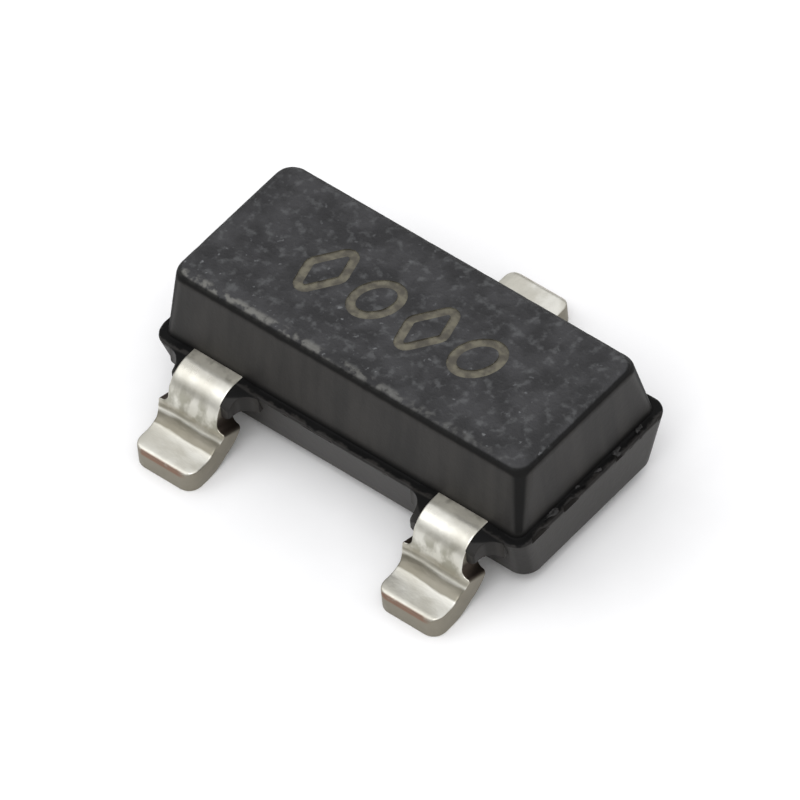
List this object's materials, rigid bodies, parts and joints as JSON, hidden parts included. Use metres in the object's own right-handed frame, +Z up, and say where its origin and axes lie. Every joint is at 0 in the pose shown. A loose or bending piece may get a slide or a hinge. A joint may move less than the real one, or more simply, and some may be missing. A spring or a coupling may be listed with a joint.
{
  "type": "low-dropout voltage regulator",
  "caption": "Surface-mount low-dropout voltage regulator: a small drafted resin body with a parting ledge and tin-plated gull-wing leads on its front and back edges.",
  "frame": {"origin": "on the seating plane, the plane of the underside of the feet, under the middle of the body", "axes": "+X along the body from lead 1 to lead 2, +Y towards the single rear lead 3, +Z up out of the board"},
  "size_m": [0.0028, 0.0024, 0.001],
  "materials": {
    "mould_resin": "matt, finely eroded mould texture",
    "tinned_lead": "satin tin plating over copper alloy",
    "silicon": "polished",
    "die_adhesive": "matt, silver-filled",
    "bond_wire": "bright drawn gold"
  },
  "bodies": {
    "root": {"body": "mould_resin", "lead_1": "tinned_lead", "lead_2": "tinned_lead", "lead_3": "tinned_lead", "die": "silicon", "die_attach": "die_adhesive", "wire_ground": "bond_wire", "wire_output": "bond_wire", "wire_input": "bond_wire"}
  },
  "joints": []
}
